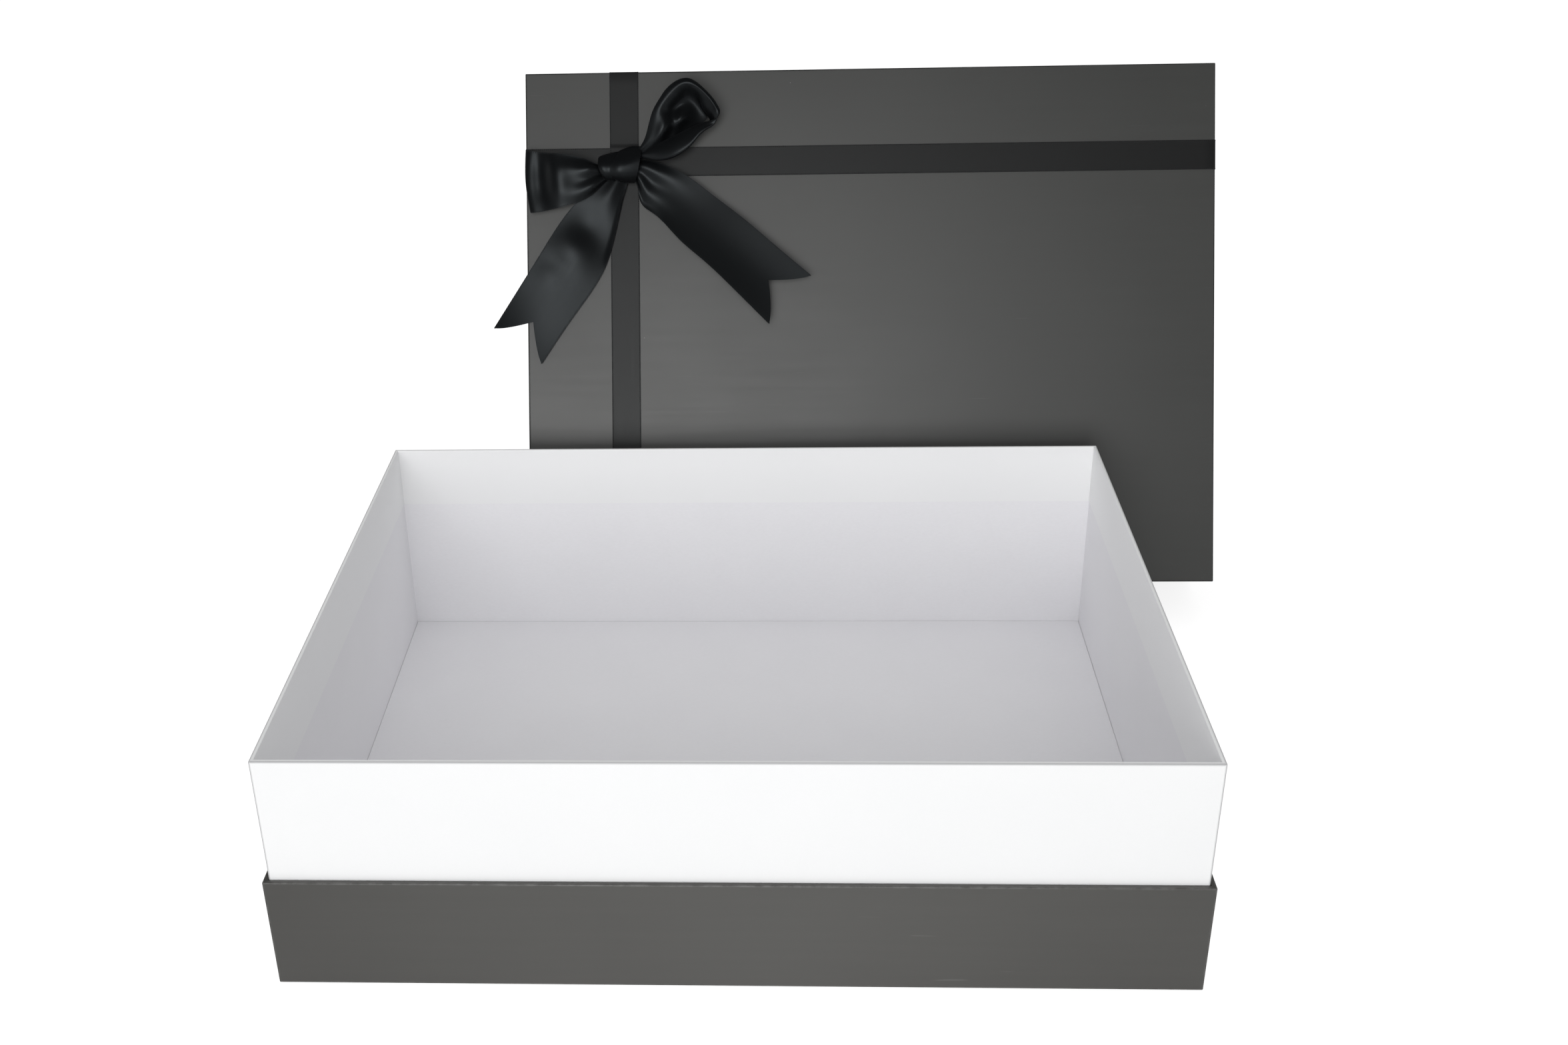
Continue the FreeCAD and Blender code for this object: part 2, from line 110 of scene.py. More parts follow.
class Finish:
    """A material's or the world's node tree, built from expressions."""

    def __init__(self, owner):
        self.owner = owner
        owner.use_nodes = True
        self.tree = owner.node_tree
        self.tree.nodes.clear()

    def node(self, kind, settings=None, sockets=None, out=0):
        """Add a node, set it up, fill its sockets with values or links, and give one of its outputs."""
        made = self.tree.nodes.new(kind)
        for key, value in (settings or {}).items():
            setattr(made, key, value)
        for key, value in (sockets or {}).items():
            if isinstance(value, Number):
                self.tree.links.new(value.socket, made.inputs[key])
            else:
                made.inputs[key].default_value = value
        return Number(self, made.outputs[out]) if made.outputs else None

    def math(self, operation, one, other):
        return self.node("ShaderNodeMath", {"operation": operation}, {0: one, 1: other})

    def most(self, one, other):
        return self.math("MAXIMUM", one, other)

    def step(self, value, low, high):
        """Nought below low, one above high and smooth between them."""
        return self.node("ShaderNodeMapRange", {"interpolation_type": "SMOOTHSTEP"},
                         {"Value": value, "From Min": low, "From Max": high})

    def near(self, distance, reach):
        """One at a distance of nought, and nought past a reach."""
        return 1.0 - self.step(distance, 0.0, reach)

    def blend(self, share, one, other):
        """A colour between two."""
        return self.node("ShaderNodeMix", {"data_type": "RGBA"}, {0: share, 6: one, 7: other}, 2)

    def shade(self, colour, share):
        """A colour times a number."""
        return self.node("ShaderNodeVectorMath", {"operation": "SCALE"}, {0: colour, "Scale": share})

    def coordinates(self, kind="Object", **mapping):
        """Texture coordinates, moved, turned or scaled as a Mapping node's sockets say."""
        place = self.node("ShaderNodeTexCoord", out=kind)
        if not mapping:
            return place
        settings = {"vector_type": mapping.pop("vector_type", "POINT")}
        return self.node("ShaderNodeMapping", settings, {"Vector": place, **mapping})

    def scaled(self, place, turn, scale):
        """Coordinates turned and stretched, for streaks and fibres."""
        return self.node("ShaderNodeMapping", None, {"Vector": place, "Rotation": turn, "Scale": scale})

    def axes(self, place):
        """The three numbers of a vector."""
        split = self.node("ShaderNodeSeparateXYZ", None, {0: place}).socket.node
        return [Number(self, out) for out in split.outputs]

    def noise(self, place, scale, detail=2.0, roughness=0.5):
        return self.node("ShaderNodeTexNoise", None, {
            "Vector": place, "Scale": scale, "Detail": detail, "Roughness": roughness})

    def cells(self, place, scale):
        """Distance to the nearest of scattered points, and a random number for each of them."""
        dots = self.node("ShaderNodeTexVoronoi", None, {"Vector": place, "Scale": scale}).socket.node
        picked = self.node("ShaderNodeSeparateColor", None, {0: Number(self, dots.outputs["Color"])})
        return Number(self, dots.outputs["Distance"]), picked

    def bump(self, height, strength, depth):
        return self.node("ShaderNodeBump", None, {
            "Height": height, "Strength": strength, "Distance": depth})

    def principled(self, **sockets):
        """Close the material with a Principled shader; underscores in the names stand for spaces."""
        named = {key.replace("_", " "): value for key, value in sockets.items()}
        shader = self.node("ShaderNodeBsdfPrincipled", None, named)
        self.node("ShaderNodeOutputMaterial", None, {"Surface": shader})
        return self.owner


def finish(name):
    return Finish(bpy.data.materials.new(name))


def rgb(red, green, blue):
    return (red, green, blue, 1.0)


LID_TURN = Euler((-math.pi / 2 - LID_LEAN, 0.0, 0.0))


def charcoal_paper(name, middle, turn, height, tint, shine, fold_shade_and_dulling):
    """Matt laminated dark paper on a tray, with grain, clouds, scratches, specks and rubbed folds, or folds
    darkened with painted shade and made rougher.
    """
    look = finish(name)
    place = look.coordinates(vector_type="TEXTURE", Location=middle, Rotation=turn)
    x, y, z = look.axes(place)
    grain = look.noise(place, 2600.0, 3.0, 0.6)
    cloud = look.noise(place, 14.0, 3.0, 0.5)
    drift = look.noise(place, 5.5, 1.0)
    brushed = look.noise(look.scaled(place, FLAT, (9.0, 260.0, 260.0)), 1.0, 3.0, 0.6)
    reach = 1.3 * MM
    near_side = look.near(BOX_LENGTH / 2 * MM - abs(x), reach)
    near_end = look.near(BOX_WIDTH / 2 * MM - abs(y), reach)
    near_floor, near_rim = look.near(z, reach), look.near(height * MM - z, reach)
    folds = look.most(near_side * near_end, (near_floor + near_rim) * look.most(near_side, near_end))
    rub = folds * look.step(look.noise(place, 160.0, 4.0, 0.7), 0.38, 0.62)
    streak = look.noise(look.scaled(place, (0.0, 0.0, 0.62), (26.0, 1500.0, 300.0)), 1.0, 1.0)
    hairline = look.step(streak, 0.735, 0.775) * look.step(look.noise(place, 17.0, 1.0), 0.55, 0.68)
    distance, pick = look.cells(place, 46.0)
    speck = look.near(distance, 0.017) * look.step(pick, 0.72, 0.76)
    tone = 0.78 + 0.16 * cloud + 0.10 * grain + 0.16 * brushed
    colour = look.blend(look.step(drift, 0.35, 0.65), rgb(*tint[0]), rgb(*tint[1]))
    # Painted shade: where a fold shade share is given (the lid), the paper darkens along its folds and edges
    # and is rougher there
    colour = look.shade(colour, tone * (1.0 - fold_shade_and_dulling * folds))
    colour = look.blend(0.34 * (1.0 - fold_shade_and_dulling) * rub + 0.16 * hairline, colour, rgb(0.20, 0.20, 0.195))
    colour = look.blend(0.55 * speck, colour, rgb(0.42, 0.42, 0.41))
    roughness = 0.35 + 0.07 * cloud + 0.05 * grain + 0.06 * brushed - 0.05 * rub + 0.55 * fold_shade_and_dulling * folds
    height_map = grain * 0.6 + 0.25 * look.noise(place, 700.0, 2.0) + 0.8 * speck
    return look.principled(Base_Color=colour, Roughness=roughness, Specular_IOR_Level=shine,
                           Normal=look.bump(height_map, 0.10, 0.06 * MM))


def white_paper(name, corner=None):
    """Smooth coated white paper with a faint grain and the odd dark fleck, with painted shade in grey along
    the folds of a corner.
    """
    look = finish(name)
    place = look.coordinates()
    grain = look.noise(place, 1900.0, 3.0, 0.55)
    cloud = look.noise(place, 20.0, 2.0)
    distance, pick = look.cells(place, 40.0)
    fleck = look.near(distance, 0.014) * look.step(pick, 0.80, 0.84)
    colour = look.blend(cloud, rgb(0.882, 0.887, 0.892), rgb(0.908, 0.911, 0.914))
    colour = look.shade(colour, 0.985 + 0.03 * grain)
    colour = look.blend(0.45 * fleck, colour, rgb(0.36, 0.35, 0.34))
    if corner:
        x, y, z = look.axes(place)
        reach = 1.1 * MM
        near_side, near_end = look.near(corner[0] - abs(x), reach), look.near(corner[1] - abs(y), reach)
        near_rim = look.near(corner[2] - z, reach)
        folds = look.most(near_side * near_end, near_rim * look.most(near_side, near_end))
        # Painted shade: the corner folds and rim edges of the neck are blended to grey
        colour = look.blend(0.85 * folds, colour, rgb(0.34, 0.34, 0.35))
    return look.principled(Base_Color=colour, Roughness=0.40 + 0.10 * grain,
                           Normal=look.bump(grain + 0.4 * cloud, 0.06, 0.05 * MM))


def white_board():
    """Uncoated white lining of board: short fibres, a cool cast and fine specks."""
    look = finish("white_board")
    place = look.coordinates()
    fibre = look.noise(look.scaled(place, (0.3, 0.5, 0.7), (500.0, 2600.0, 1200.0)), 1.0, 3.0, 0.6)
    cloud = look.noise(place, 26.0, 3.0)
    distance, pick = look.cells(place, 70.0)
    fleck = look.near(distance, 0.018) * look.step(pick, 0.74, 0.78)
    colour = look.blend(cloud, rgb(0.860, 0.856, 0.880), rgb(0.890, 0.887, 0.906))
    colour = look.shade(colour, 0.965 + 0.07 * fibre)
    colour = look.blend(0.35 * fleck, colour, rgb(0.30, 0.29, 0.29))
    return look.principled(Base_Color=colour, Roughness=0.66 + 0.12 * fibre,
                           Normal=look.bump(fibre, 0.12, 0.08 * MM))


def greyboard():
    """Raw grey board of recycled pulp, with dark and pale flecks."""
    look = finish("greyboard")
    place = look.coordinates()
    pulp = look.noise(place, 620.0, 4.0, 0.65)
    cloud = look.noise(place, 40.0, 2.0)
    distance, pick = look.cells(place, 420.0)
    dot = look.near(distance, 0.26)
    colour = look.blend(cloud, rgb(0.30, 0.285, 0.262), rgb(0.38, 0.362, 0.335))
    colour = look.shade(colour, 0.80 + 0.40 * pulp)
    colour = look.blend(0.5 * dot * look.step(pick, 0.80, 0.86), colour, rgb(0.10, 0.095, 0.09))
    colour = look.blend(0.5 * dot * (1.0 - look.step(pick, 0.12, 0.18)), colour, rgb(0.62, 0.60, 0.56))
    return look.principled(Base_Color=colour, Roughness=0.82 + 0.12 * pulp,
                           Normal=look.bump(pulp, 0.35, 0.12 * MM))


def kraft_tape():
    """Gummed brown paper tape with long fibres."""
    look = finish("stay_tape")
    place = look.coordinates()
    fibre = look.noise(look.scaled(place, (0.0, 0.0, 0.4), (300.0, 1800.0, 900.0)), 1.0, 3.0)
    colour = look.blend(fibre, rgb(0.40, 0.28, 0.16), rgb(0.60, 0.46, 0.29))
    return look.principled(Base_Color=colour, Roughness=0.70 + 0.15 * fibre,
                           Normal=look.bump(fibre, 0.15, 0.06 * MM))


def adhesive():
    """Set glue with small trapped bubbles, as dark as the satin that shows through it."""
    look = finish("adhesive")
    place = look.coordinates()
    distance, pick = look.cells(place, 900.0)
    bubble = look.near(distance, 0.3) * look.step(pick, 0.6, 0.7)
    colour = look.blend(bubble, rgb(0.016, 0.015, 0.014), rgb(0.050, 0.048, 0.044))
    return look.principled(Base_Color=colour, Roughness=0.28 + 0.2 * bubble,
                           Normal=look.bump(bubble, 0.2, 0.1 * MM))


def satin(name, colour, roughness, shine, tint, width):
    """Black satin on its own map (metres along and across): warp floats, weft ribs and a woven edge."""
    look = finish(name)
    place = look.coordinates("UV")
    _, across, _ = look.axes(place)
    floats = look.noise(look.scaled(place, FLAT, (260.0, 5200.0, 1.0)), 1.0, 3.0, 0.6)
    slub = look.noise(look.scaled(place, FLAT, (22.0, 900.0, 1.0)), 1.0, 2.0)
    weft = look.node("ShaderNodeTexWave", {"bands_direction": "X", "wave_profile": "SIN"}, {
        "Vector": place, "Scale": 420.0, "Distortion": 1.5, "Detail Scale": 60.0})
    edge = look.step(abs(across), (width / 2 - 1.1) * MM, (width / 2 - 0.6) * MM)
    tone = 0.82 + 0.26 * floats + 0.12 * slub
    shade = look.shade(look.blend(0.55 * edge, rgb(*colour), rgb(*[1.8 * c for c in colour])), tone)
    gloss = roughness + 0.10 * (floats - 0.5) + 0.06 * slub + 0.04 * edge
    height = 0.7 * floats + 0.3 * weft + 0.6 * edge * weft
    return look.principled(Base_Color=shade, Roughness=gloss, Specular_IOR_Level=shine,
                           Specular_Tint=rgb(*tint), Normal=look.bump(height, 0.10, 0.05 * MM))


BASE_TINTS = ((0.0540, 0.0525, 0.0484), (0.0580, 0.0566, 0.0524))
LID_TINTS = ((0.0272, 0.0284, 0.0260), (0.0303, 0.0314, 0.0286))
paper_base = charcoal_paper("charcoal_paper_base", FLAT, FLAT, BASE_HEIGHT, BASE_TINTS,
                            shine=0.66, fold_shade_and_dulling=0.0)
# The lid's paper carries painted shade along its folds and edges
paper_lid = charcoal_paper("charcoal_paper_lid", FACE_MIDDLE * MM, LID_TURN, LID_HEIGHT, LID_TINTS,
                           shine=0.88, fold_shade_and_dulling=0.85)
# The neck's far bound corner places the painted shade on its corner folds
FAR_CORNER = 6
paper_neck = white_paper("neck_paper", tuple(nodes["neck_wrap"].bound_box[FAR_CORNER]))
paper_liner = white_paper("liner_paper")
board_white, board_grey = white_board(), greyboard()
satin_band = satin("band_satin", (0.0082, 0.0083, 0.0085), roughness=0.38, shine=0.34,
                   tint=(0.98, 1.0, 1.0), width=BAND_WIDTH)
satin_bow = satin("bow_satin", (0.0036, 0.0040, 0.0045), roughness=0.35, shine=0.25,
                  tint=(0.88, 0.96, 1.0), width=BOW_WIDTH)

DRESSED = {
    "base_wrap": paper_base, "lid_wrap": paper_lid,
    "neck_wrap": paper_neck, "lid_liner": paper_liner,
    "neck_board": board_white, "floor_panel": board_white,
    "base_board": board_grey, "lid_board": board_grey,
    "base_corner_stays": kraft_tape(), "bow_glue_pad": adhesive(),
}
DRESSED["lid_corner_stays"] = DRESSED["base_corner_stays"]
for node_name, material in DRESSED.items():
    worn = nodes[node_name].data.materials
    worn.clear()
    worn.append(material)

# Ribbon surfaces: how far before its end a cut starts, the angle of a cut edge, and the least length

CUT_RUN, CUT_EDGE, TINY = 8.0, math.radians(60.0), 1e-12


def through(marks, points, at):
    """Read a natural cubic curve that passes through points at the marks."""
    marks, points, at = (np.asarray(item, float) for item in (marks, points, at))
    count, gaps = len(marks), np.diff(marks)
    slopes = np.diff(points, axis=0) / gaps[:, None]
    system, bends = np.eye(count), np.zeros_like(points)
    for row in range(1, count - 1):
        system[row, row - 1:row + 2] = gaps[row - 1], 2 * (gaps[row - 1] + gaps[row]), gaps[row]
        bends[row] = 6 * (slopes[row] - slopes[row - 1])
    bends = np.linalg.solve(system, bends)
    cell = np.clip(np.searchsorted(marks, at, side="right") - 1, 0, count - 2)
    width = gaps[cell][:, None]
    left, right = (marks[cell + 1] - at)[:, None], (at - marks[cell])[:, None]
    curve = (bends[cell] * left ** 3 + bends[cell + 1] * right ** 3) / (6 * width)
    curve += (points[cell] / width - bends[cell] * width / 6) * left
    return curve + (points[cell + 1] / width - bends[cell + 1] * width / 6) * right


def facing(grid):
    """Unit normals of a grid of points."""
    along, across = np.gradient(grid, axis=0), np.gradient(grid, axis=1)
    normal = np.cross(along, across)
    return normal / np.maximum(np.linalg.norm(normal, axis=-1, keepdims=True), TINY)


def cloth_run(lines, step, columns, pleat=None, end=None):
    """Lay ribbon through lines of points across it, in millimetres.

    A pleat gives the height of gathers at a distance along and a share across, and an end the
    distance at which the cut end lies for a share across.
    """
    lines = np.array(lines, float)
    places = np.linspace(0.0, 1.0, lines.shape[1])
    middle = lines[:, lines.shape[1] // 2]
    marks = np.concatenate([[0.0], np.cumsum(np.linalg.norm(np.diff(middle, axis=0), axis=1))])
    length = marks[-1]
    across = np.linspace(0.0, 1.0, columns)
    along = np.linspace(0.0, length, int(length / step) + 1)[:, None] + 0.0 * across
    if end is not None:
        last = end(length, across)
        start = last.min() - CUT_RUN
        late = along > start
        along = np.where(late, start + (along - start) * (last - start) / (length - start), along)
    wide = np.stack([through(places, line, across) for line in lines])
    grid = np.stack([through(marks, wide[:, column], along[:, column]) for column in range(columns)], axis=1)
    if pleat is not None:
        grid = grid + facing(grid) * pleat(along, across[None, :], length)[..., None]
    return grid, along, across


def cloth_mesh(name, grid, chart, thickness, material):
    """Give a grid of points in metres a thickness, close it all round, and lay its chart (metres) on it."""
    normal = facing(grid)
    tall, broad = grid.shape[:2]
    half = thickness * MM / 2
    points = np.concatenate([(grid + normal * half).reshape(-1, 3), (grid - normal * half).reshape(-1, 3)])
    index = np.arange(tall * broad).reshape(tall, broad)
    quads = np.stack([index[:-1, :-1], index[1:, :-1], index[1:, 1:], index[:-1, 1:]], axis=-1).reshape(-1, 4)
    under = tall * broad
    faces = [quads, quads[:, ::-1] + under]
    for border in (index[0, :], index[-1, ::-1], index[::-1, 0], index[:, -1]):
        one, other = border[:-1], border[1:]
        faces.append(np.stack([one, other, other + under, one + under], axis=-1))
    faces = np.concatenate(faces)
    mesh = bpy.data.meshes.new(name)
    mesh.from_pydata(points.tolist(), [], faces.tolist())
    charted = np.concatenate([chart.reshape(-1, 2)] * 2)
    layer = mesh.uv_layers.new(name="UVMap")
    layer.data.foreach_set("uv", charted[faces.ravel()].astype(np.float32).ravel())
    work = bmesh.new()
    work.from_mesh(mesh)
    bmesh.ops.recalc_face_normals(work, faces=work.faces)
    work.to_mesh(mesh)
    work.free()
    mesh.shade_smooth()
    mesh.set_sharp_from_angle(angle=CUT_EDGE)
    mesh.materials.append(material)
    piece = bpy.data.objects.new(name, mesh)
    bpy.context.scene.collection.objects.link(piece)
    return piece


# Edges to stitch: how far in from a band's or the bow's edge, and how far the knot hides the bow's

BAND_STITCH_INSET, BOW_STITCH_INSET, KNOT_COVER = 0.45, 0.5, 9.0
stitch_lines = []


def stitch_edges(grid, inset, first=0, last=None):
    """Remember where the two woven edges of a ribbon are stitched, with the side that faces out."""
    normal = facing(grid)[first:last]
    grid = grid[first:last]
    for edge, inner in ((0, 1), (-1, -2)):
        inward = grid[:, inner] - grid[:, edge]
        inward = inward / np.maximum(np.linalg.norm(inward, axis=1, keepdims=True), TINY)
        stitch_lines.append((grid[:, edge] + inward * inset * MM, normal[:, edge]))


def lay_ribbon(name, lines, node, pleat, end=None):
    """Make one run of the bow's ribbon, in place of its solid."""
    step, columns = 0.8, 45
    hidden = int(KNOT_COVER / step)
    grid, along, across = cloth_run(lines, step, columns, pleat, end)
    grid = on_bow(grid)
    chart = np.stack([along * MM, (across[None, :] - 0.5) * BOW_WIDTH * MM + 0.0 * along], axis=-1)
    piece = cloth_mesh(name, grid, chart, BOW_SATIN, satin_bow)
    stitch_edges(grid, BOW_STITCH_INSET, hidden, None if end else -hidden)
    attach(piece, "lid")
    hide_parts(node)


# Satin bands round the lid


def rounded(path, radius, turns=4):
    """Round the corners of a path of flat points."""
    path = np.asarray(path, float)
    made = [path[0]]
    for before, corner, after in zip(path, path[1:], path[2:]):
        back = (before - corner) / np.linalg.norm(before - corner)
        on = (after - corner) / np.linalg.norm(after - corner)
        reach = min(radius, np.linalg.norm(before - corner) / 2, np.linalg.norm(after - corner) / 2)
        for share in np.linspace(0.0, 1.0, turns + 1):
            made.append(corner + back * reach * (1 - share) ** 2 + on * reach * share ** 2)
    made.append(path[-1])
    return np.array(made)


def refined(path, step):
    """Divide the runs of a path into short steps."""
    made = [path[:1]]
    for one, other in zip(path, path[1:]):
        count = max(1, int(np.linalg.norm(other - one) / step))
        made.append(one + (other - one) * (np.arange(1, count + 1) / count)[:, None])
    return np.concatenate(made)


def lay_band(name, node, half, over, place):
    """Wrap a narrow band over the lid's face, down two sides and in under the rim."""
    middle = BAND_SATIN / 2
    hem, out = half - TRAY_WALL - middle, half + middle
    rim, tuck = LID_HEIGHT + middle, LID_HEIGHT - BAND_TUCK
    path = [(-hem, tuck), (-hem, rim), (-out, rim), (-out, -middle)] + over
    path += [(out, -middle), (out, rim), (hem, rim), (hem, tuck)]
    bend, step, columns = 0.7, 6.0, 9
    path = refined(rounded(path, bend), step)
    across = np.linspace(-BAND_WIDTH / 2, BAND_WIDTH / 2, columns)
    grid = on_lid(np.array([[place(run, depth, offset) for offset in across] for run, depth in path]))
    along = np.concatenate([[0.0], np.cumsum(np.linalg.norm(np.diff(path, axis=0), axis=1))])
    chart = np.stack(np.broadcast_arrays(along[:, None] * MM, across[None, :] * MM), axis=-1)
    piece = cloth_mesh(name, grid, chart, BAND_SATIN, satin_band)
    stitch_edges(grid, BAND_STITCH_INSET)
    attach(piece, "lid")
    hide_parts(node)


lay_band("satin_band_long", "ribbon_long", BOX_LENGTH / 2, [],
         lambda run, depth, offset: (run, LONG_Y - offset, depth))
near_step, far_step, ramp = LONG_Y - BAND_WIDTH / 2, LONG_Y + BAND_WIDTH / 2, 2.0
step_over = [(near_step - ramp, -BAND_SATIN / 2), (near_step, -1.5 * BAND_SATIN),
             (far_step, -1.5 * BAND_SATIN), (far_step + ramp, -BAND_SATIN / 2)]
lay_band("satin_band_cross", "ribbon_cross", BOX_WIDTH / 2, step_over,
         lambda run, depth, offset: (CROSS_X + offset, run, depth))

# Bow of wide ribbon: rows of the ribbon's two edges and its belly between them, in the bow's own places


def bowed(one, other, belly):
    """A line across the ribbon from edge to edge, with its middle pushed out by a belly."""
    return [one, tuple((a + b) / 2 + c for a, b, c in zip(one, other, belly)), other]


LEFT_LOOP = [
    bowed((-7.3, -3.5, 5.4), (-4.4, -8.9, 5), (0, 0, 0.6)),
    bowed((-14.3, -2, 7.8), (-10.2, -12.4, 6.8), (0, 0, 1.6)),
    bowed((-19.4, 0.1, 10.4), (-15.4, -17.6, 8.8), (0, 0, 2)),
    bowed((-26.3, 2, 11.8), (-23.7, -23.1, 9.6), (0, 0, 1.6)),
    bowed((-33.3, 3.3, 12.2), (-30.6, -25.4, 9.8), (0, 0, 0.9)),
    bowed((-39.8, 3.9, 11.8), (-37.1, -27.1, 9.4), (0, 0, 0.7)),
    bowed((-45.4, 4.5, 10), (-43.3, -28.3, 7.8), (-0.5, 0, 0.6)),
    bowed((-50.1, 5.3, 8.7), (-48.2, -29.1, 6.9), (-1, 0, 0.5)),
    bowed((-54.6, 6.2, 8.3), (-52.6, -29.6, 6.6), (-1.5, 0, 0.3)),
    bowed((-57, 6.8, 6.6), (-54.8, -29.5, 5.4), (-1.8, 0, 0)),
    bowed((-54.7, 6.5, 4.8), (-52.2, -28.7, 4), (-1.4, 0, -0.4)),
    bowed((-44.3, 4.6, 3.8), (-41.8, -26.4, 3.6), (0, 0, -1)),
    bowed((-30.4, 2.6, 3.6), (-27.9, -22.2, 3.4), (0, 0, -1.1)),
    bowed((-16.4, -1.3, 3.9), (-13.5, -13.7, 3.7), (0, 0, -0.6)),
    bowed((-7.5, -3.3, 4), (-5.5, -8.7, 3.8), FLAT),
]
UPPER_LOOP = [
    [(6.2, 2.2, 7), (6.7, 2, 7), (7.2, 1.9, 6.8), (7.7, 1.6, 6.6),
     (8.2, 1.3, 6.3), (8.7, 1.2, 6), (9.2, 0.9, 5.6)],
    [(10.2, 7.4, 10), (11.3, 6.8, 10.4), (12.5, 6.2, 10.4), (13.7, 5.6, 10.2),
     (14.8, 5.1, 8.8), (15.7, 4.6, 7.6), (16.6, 4.2, 6.6)],
    [(13.6, 13, 12.8), (15.9, 12.3, 13.4), (18.1, 11.3, 13.6), (20, 10.3, 13.2),
     (21.2, 9.4, 10.6), (22.3, 8.3, 8.6), (23.2, 7.1, 7)],
    [(17.4, 25.1, 16), (20.2, 23.8, 16.6), (23.1, 21.7, 16.4), (26.4, 18.5, 15.4),
     (28.3, 16.5, 10.8), (30, 14.1, 8.6), (31.5, 11.6, 7)],
    [(22.7, 34.2, 17.6), (25.7, 32.1, 18.2), (28.2, 29.8, 14.8), (30.4, 27.2, 11.8),
     (33.9, 22.5, 13.8), (35.6, 19.3, 9.6), (37.4, 14.8, 7)],
    [(28.2, 40.7, 18.4), (30.8, 37.6, 19.2), (33.1, 34.7, 15.2), (35.1, 31.6, 11.6),
     (37.7, 26.4, 12), (40.1, 22.3, 9.4), (42.4, 18.2, 7)],
    [(35.6, 44.5, 18.4), (36.5, 41.4, 19.8), (37.7, 37.9, 15.6), (39.3, 34.4, 11.6),
     (41.5, 29.6, 9.8), (44, 25.1, 8.4), (46.4, 21.2, 7)],
    [(43.4, 42.3, 18.4), (43.3, 39.8, 19.9), (43.2, 36.8, 17.2), (43.9, 33.7, 13.2),
     (45.5, 29.7, 10.2), (47.2, 26.4, 8.6), (48.9, 23.5, 7.2)],
    [(51.3, 34.8, 18.6), (50, 33.6, 19.9), (47.7, 32, 17.6), (46.3, 30.3, 14.6),
     (46.8, 28.2, 11.8), (48, 26.4, 9.6), (49.8, 24.6, 7.8)],
    [(55.5, 28.7, 18.8), (54.1, 28, 19.8), (51.9, 27.4, 18.4), (49.6, 26.7, 15.8),
     (48.8, 25.7, 12.8), (49.3, 24.7, 10.4), (50.2, 23.5, 8.4)],
    [(56.8, 24.8, 18.8), (55.7, 24.4, 19.4), (53.9, 24, 18.6), (52.3, 23.6, 16.6),
     (51.3, 23.1, 13.8), (50.9, 22.5, 11.2), (50.6, 21.8, 9.2)],
    [(54.1, 21.7, 17.4), (54.6, 21.1, 17.6), (54.6, 20.4, 17.2), (53.8, 19.7, 16),
     (52.1, 19.9, 12), (49.8, 20.6, 8), (46.7, 21.6, 5.4)],
    [(46.4, 19.5, 15.4), (47.2, 18.3, 16.4), (48, 16.9, 17), (48.6, 15.4, 16.6),
     (46.9, 16, 11.4), (44.2, 17.6, 6.8), (40.9, 19.8, 4.4)],
    [(37.8, 16.4, 13.6), (38.7, 13.8, 15.2), (39.8, 10.9, 16.2), (40.7, 7.8, 15.8),
     (39, 8.7, 10.4), (36.6, 11.2, 6), (33.3, 14.7, 3.8)],
    [(29, 12.6, 11.8), (29.5, 9, 13.6), (30, 4.9, 14.4), (30.3, 1, 13.2),
     (29.2, 1.8, 8.6), (27.6, 4.6, 5), (25.7, 8.4, 3.4)],
    [(20.2, 8.7, 10), (20.5, 5.8, 11.2), (20.8, 2.8, 11.4), (20.9, -0.3, 10),
     (20.3, 0.1, 7.4), (19.5, 1.6, 5.2), (18.6, 3.8, 4)],
    [(9.8, 4, 8.4), (9.8, 3.3, 8.6), (9.8, 2.5, 8.6), (9.8, 1.6, 8),
     (9.7, 1.3, 7.2), (9.6, 1.2, 6.4), (9.6, 1.5, 5.6)],
]
LEFT_TAIL = [
    bowed((-6.5, -5.7, 3.6), (3.4, -7.6, 3), (0, 0, 1)),
    bowed((-14.4, -12.3, 4.6), (-0.2, -20.5, 2.8), (0, 0, 1.2)),
    bowed((-28.6, -24.5, 5.4), (-4.9, -40.3, 1.6), (0, 0, 0.9)),
    bowed((-43.9, -44.8, 4.6), (-12.8, -63.7, 1), (0, 0, 0.6)),
    bowed((-59.5, -68.6, 3), (-30.3, -89.6, 0.9), (0, 0, 0.5)),
    bowed((-78.4, -96.1, -2.6), (-49.7, -117.7, 1), (0, 0, 0.6)),
]
RIGHT_TAIL = [
    bowed((4, -1.9, 4.6), (3.4, -8.7, 3.8), (0, 0, 1)),
    bowed((9.9, 0.1, 5.8), (7, -13.1, 3.4), (0, 0, 1.6)),
    bowed((20.6, -1.4, 6.4), (9.4, -22.9, 2.4), (0, 0, 1)),
    bowed((32.6, -6.6, 6.8), (16.6, -30.1, 3), (0, 0, 0.2)),
    bowed((51.8, -20.5, 7.2), (32.3, -46.2, 8.7), (0, 0, -0.8)),
    bowed((68.2, -33.3, 8.4), (46.5, -58.8, 11.4), (0, 0, -1.1)),
    bowed((87.5, -49.9, 9.5), (64.8, -76.5, 13.4), (0, 0, -1.2)),
    bowed((108.7, -68, 10.6), (84.1, -96, 14.2), (0, 0, -1)),
]
